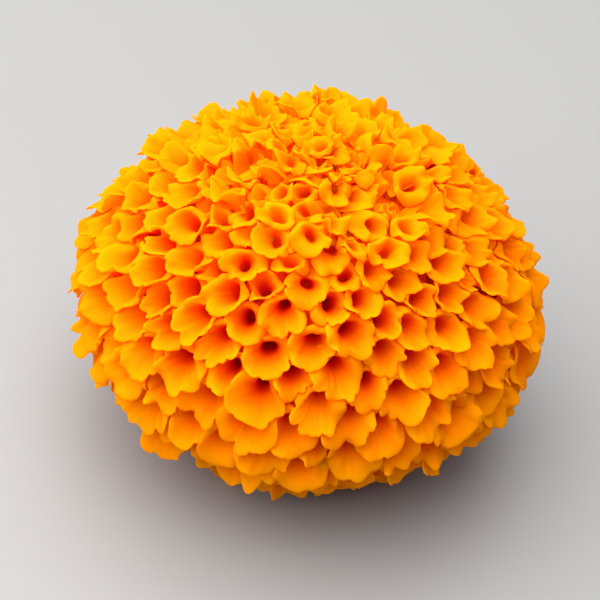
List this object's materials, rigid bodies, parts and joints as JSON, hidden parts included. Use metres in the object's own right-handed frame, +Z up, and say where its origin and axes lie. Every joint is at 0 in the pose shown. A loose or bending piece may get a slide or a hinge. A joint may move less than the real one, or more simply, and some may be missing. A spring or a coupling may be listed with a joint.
{
  "type": "marigold flower",
  "caption": "Double pompon marigold head of tightly packed trumpet florets, snapped off below its calyx and resting face up on its lowest florets.",
  "frame": {"origin": "on the surface that the flower rests on, under the middle of the head", "axes": "+Z up, out of the stem through the crown of the head; +X to the right as the picture shows it, the camera looking along +Y and down"},
  "size_m": [0.0948, 0.0948, 0.0666],
  "materials": {
    "petals": "velvety orange petal, golden at the lips, satin",
    "calyx": "smooth ribbed green, satin",
    "stem": "finely grooved green, satin, pale pith at the cut"
  },
  "bodies": {
    "root": {"bloom": "petals", "calyx": "calyx", "stem": "stem"}
  },
  "joints": []
}
